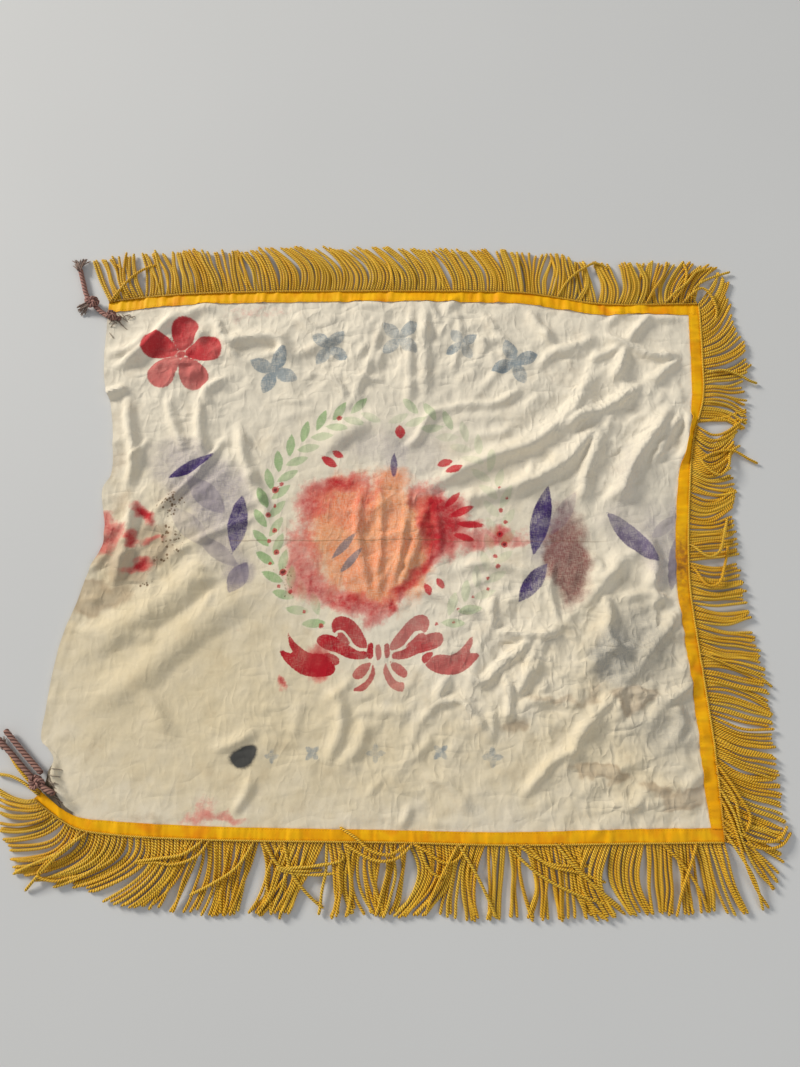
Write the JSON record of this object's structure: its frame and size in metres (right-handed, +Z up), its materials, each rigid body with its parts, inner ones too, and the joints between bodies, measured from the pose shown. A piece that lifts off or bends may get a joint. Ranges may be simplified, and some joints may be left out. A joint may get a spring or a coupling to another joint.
{
  "type": "fringed cloth banner laid open",
  "caption": "Square cotton banner laid open on a surface, with ribbon tape and twisted cord fringe on three edges and cord ties at the two corners of its pole side.",
  "frame": {"origin": "centre of the bottom of the box round the cloth and fringe, on the surface that the banner lies on", "axes": "+Z up off the surface, +X along the top edge away from the pole side, +Y from the bottom edge to the top edge"},
  "size_m": [0.8581, 0.7749, 0.0155],
  "materials": {
    "cotton": "soft plain weave, creased, stained and matt",
    "ribbon": "ribbed silk ribbon with a low sheen",
    "fringe": "twisted rayon cord with a soft sheen",
    "tie": "dusty twisted cotton cord, matt"
  },
  "bodies": {
    "root": {"panel": "cotton", "tape_top": "ribbon", "tape_bottom": "ribbon", "tape_right": "ribbon", "fringe_top": "fringe", "fringe_right": "fringe", "fringe_bottom": "fringe", "tie_top": "tie", "tie_bottom": "tie", "tie_bottom_second": "tie"}
  },
  "joints": []
}
